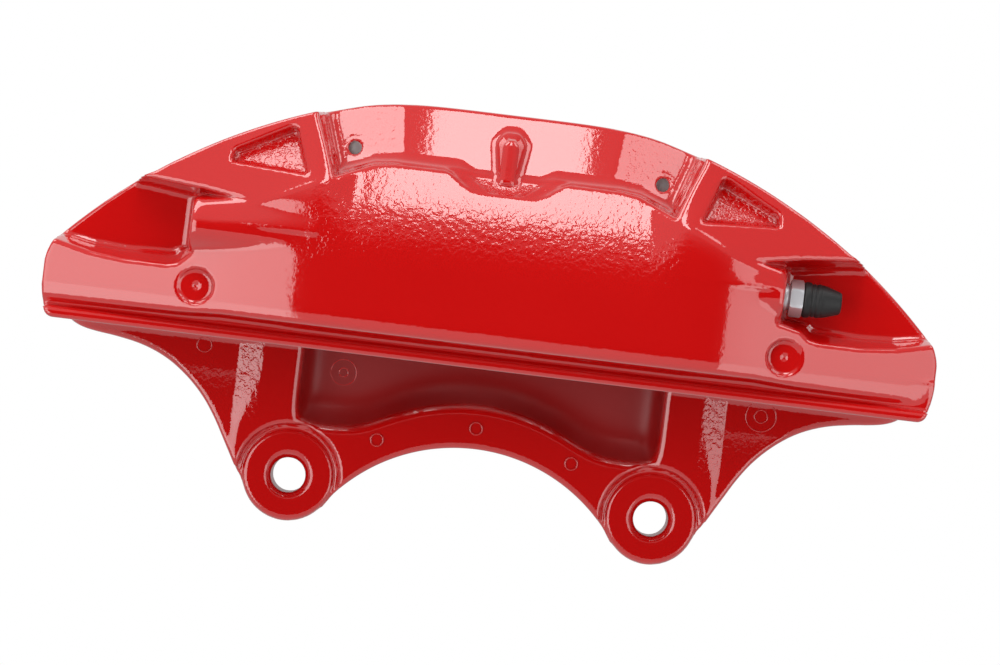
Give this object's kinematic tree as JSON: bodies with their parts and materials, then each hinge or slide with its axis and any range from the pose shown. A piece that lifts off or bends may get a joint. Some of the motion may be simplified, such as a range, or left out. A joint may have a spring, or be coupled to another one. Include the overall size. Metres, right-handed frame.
{
  "type": "fixed brake caliper",
  "caption": "Opposed-piston disc brake caliper in two bolted halves, gloss red, with bleeder screws, capped nipples, pad pins and radial mounting lugs.",
  "frame": {"origin": "midway between the two mounting lug bores, on the lugs' inboard mounting face", "axes": "+X along the caliper towards the bleeder screws, +Y along the axle towards the vehicle, +Z radially outwards from the disc axis"},
  "size_m": [0.3034, 0.141, 0.1496],
  "materials": {
    "body_paint": "gloss red paint over cast aluminium",
    "bolt_steel": "black oxide",
    "seal_rubber": "matt",
    "boot_rubber": "matt",
    "cap_rubber": "satin moulded rubber",
    "spring_steel": "bright stainless sheet",
    "piston_alloy": "hard anodised, grey",
    "zinc_steel": "zinc plated",
    "pin_steel": "ground stainless",
    "sleeve_steel": "spring steel"
  },
  "bodies": {
    "housing": {"outboard_half": "body_paint", "inboard_half": "body_paint", "bridge_bolts": "bolt_steel", "crossover_seals": "seal_rubber", "pad_spring": "spring_steel", "piston_seal_outboard_left": "seal_rubber", "dust_boot_outboard_left": "boot_rubber", "piston_seal_outboard_right": "seal_rubber", "dust_boot_outboard_right": "boot_rubber", "piston_seal_inboard_left": "seal_rubber", "dust_boot_inboard_left": "boot_rubber", "piston_seal_inboard_right": "seal_rubber", "dust_boot_inboard_right": "boot_rubber"},
    "piston_outboard_left": {"piston_outboard_left": "piston_alloy"},
    "piston_outboard_right": {"piston_outboard_right": "piston_alloy"},
    "bleeder_screw_outboard": {"bleeder_screw_outboard": "zinc_steel"},
    "bleeder_cap_outboard": {"bleeder_cap_outboard": "cap_rubber"},
    "piston_inboard_left": {"piston_inboard_left": "piston_alloy"},
    "piston_inboard_right": {"piston_inboard_right": "piston_alloy"},
    "bleeder_screw_inboard": {"bleeder_screw_inboard": "zinc_steel"},
    "bleeder_cap_inboard": {"bleeder_cap_inboard": "cap_rubber"},
    "pad_pin_left": {"pad_pin_left": "pin_steel", "pin_sleeve_left": "sleeve_steel"},
    "pad_pin_right": {"pad_pin_right": "pin_steel", "pin_sleeve_right": "sleeve_steel"}
  },
  "joints": [
    {"name": "piston_outboard_left_slide", "type": "slide", "parent": "housing", "child": "piston_outboard_left", "axis": [0, 1, 0], "range_m": [0, 0.014]},
    {"name": "piston_outboard_right_slide", "type": "slide", "parent": "housing", "child": "piston_outboard_right", "axis": [0, 1, 0], "range_m": [0, 0.014]},
    {"name": "bleeder_screw_outboard_turn", "type": "hinge", "parent": "housing", "child": "bleeder_screw_outboard", "pos_m": [0.09, -0.0994, 0.0828], "axis": [1, 0, 0], "range_deg": [-180, 0]},
    {"name": "bleeder_cap_outboard_pull", "type": "slide", "parent": "bleeder_screw_outboard", "child": "bleeder_cap_outboard", "axis": [1, 0, 0], "range_m": [0, 0.018]},
    {"name": "piston_inboard_left_slide", "type": "slide", "parent": "housing", "child": "piston_inboard_left", "axis": [0, -1, 0], "range_m": [0, 0.014]},
    {"name": "piston_inboard_right_slide", "type": "slide", "parent": "housing", "child": "piston_inboard_right", "axis": [0, -1, 0], "range_m": [0, 0.014]},
    {"name": "bleeder_screw_inboard_turn", "type": "hinge", "parent": "housing", "child": "bleeder_screw_inboard", "pos_m": [0.09, 0.0134, 0.0828], "axis": [1, 0, 0], "range_deg": [-180, 0]},
    {"name": "bleeder_cap_inboard_pull", "type": "slide", "parent": "bleeder_screw_inboard", "child": "bleeder_cap_inboard", "axis": [1, 0, 0], "range_m": [0, 0.018]},
    {"name": "pad_pin_left_drift", "type": "slide", "parent": "housing", "child": "pad_pin_left", "axis": [0, 1, 0], "range_m": [0, 0.07]},
    {"name": "pad_pin_right_drift", "type": "slide", "parent": "housing", "child": "pad_pin_right", "axis": [0, 1, 0], "range_m": [0, 0.07]}
  ]
}
